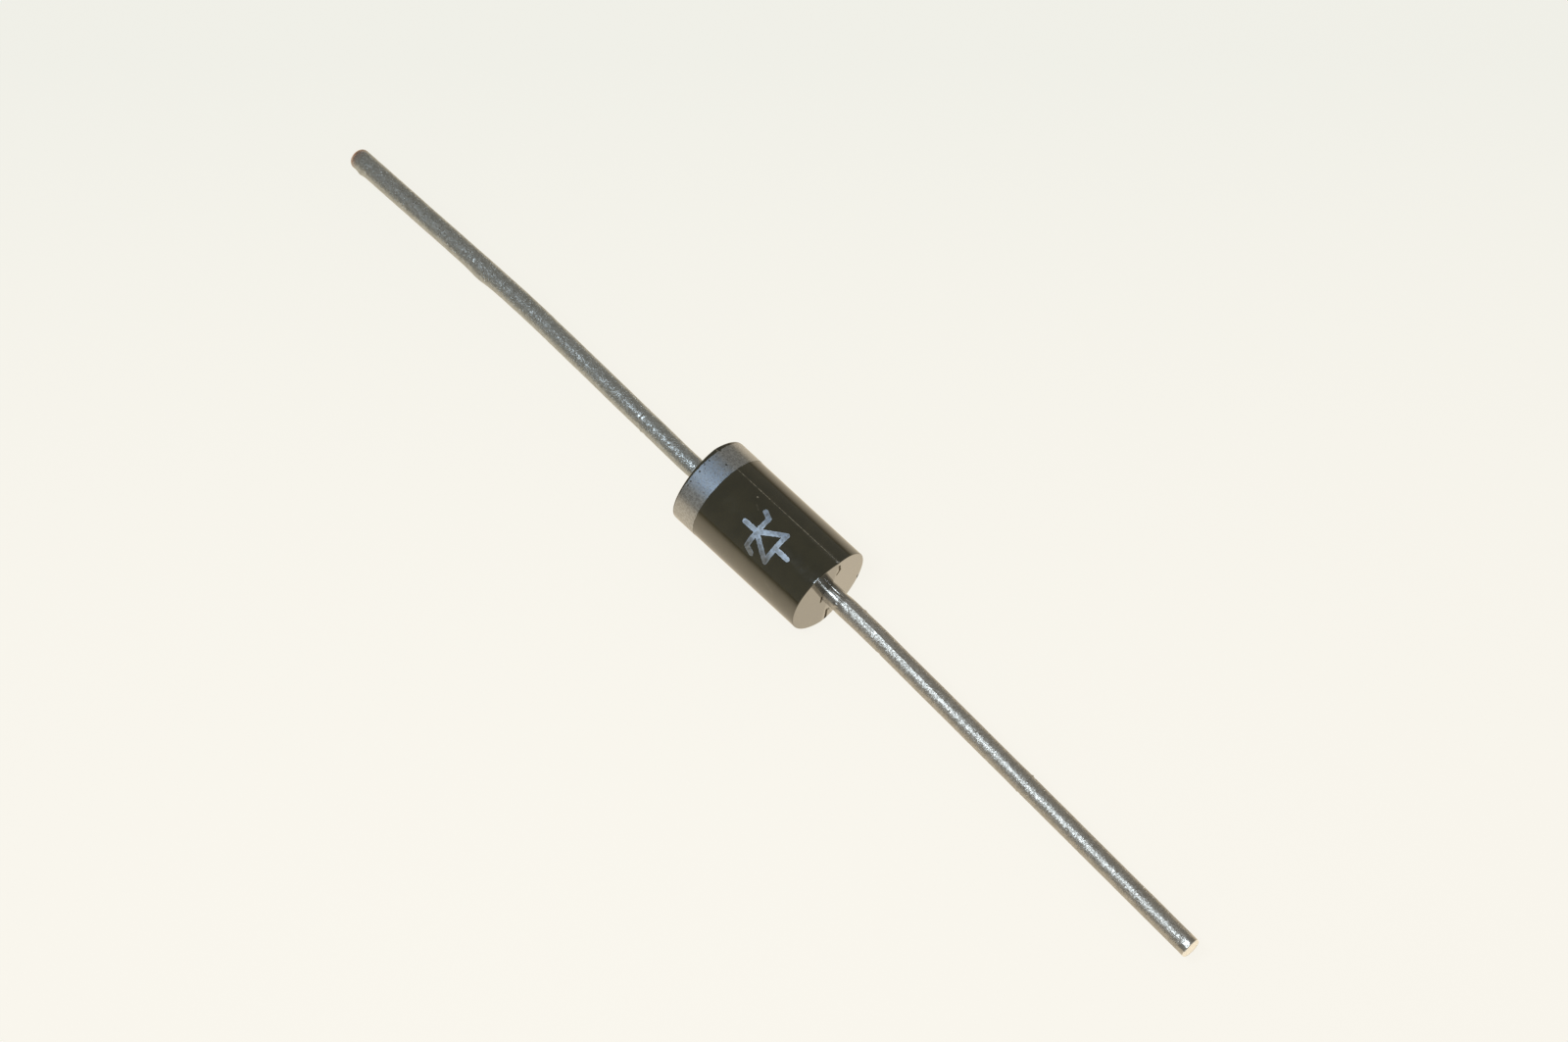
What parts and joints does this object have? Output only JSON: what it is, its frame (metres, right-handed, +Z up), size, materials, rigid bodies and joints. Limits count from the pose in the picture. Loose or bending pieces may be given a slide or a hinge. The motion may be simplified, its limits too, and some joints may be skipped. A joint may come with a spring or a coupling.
{
  "type": "zener diode",
  "caption": "Axial zener diode: black moulded cylinder with a silver cathode band and tinned wire leads, for soldering into a board to hold a voltage.",
  "frame": {"origin": "middle of the moulded body, on its axis", "axes": "+X along the body towards the anode, +Z up as it lies at rest, cathode band at -X"},
  "size_m": [0.0609, 0.005, 0.005],
  "materials": {
    "epoxy": "glossy black moulding compound, brownish in thin light",
    "band_ink": "silver-grey printed ink, mottled, with pinholes",
    "tinned_wire": "dull hot-dipped tin, grainy, over copper",
    "silicon": "sawn grey silicon with a metallised face",
    "solder": "dull lead-grey solder",
    "silicone": "soft off-white silicone"
  },
  "bodies": {
    "root": {"body": "epoxy", "cathode_band": "band_ink", "cathode_lead": "tinned_wire", "anode_lead": "tinned_wire", "zener_die": "silicon", "cathode_solder": "solder", "anode_solder": "solder", "junction_coating": "silicone"}
  },
  "joints": []
}
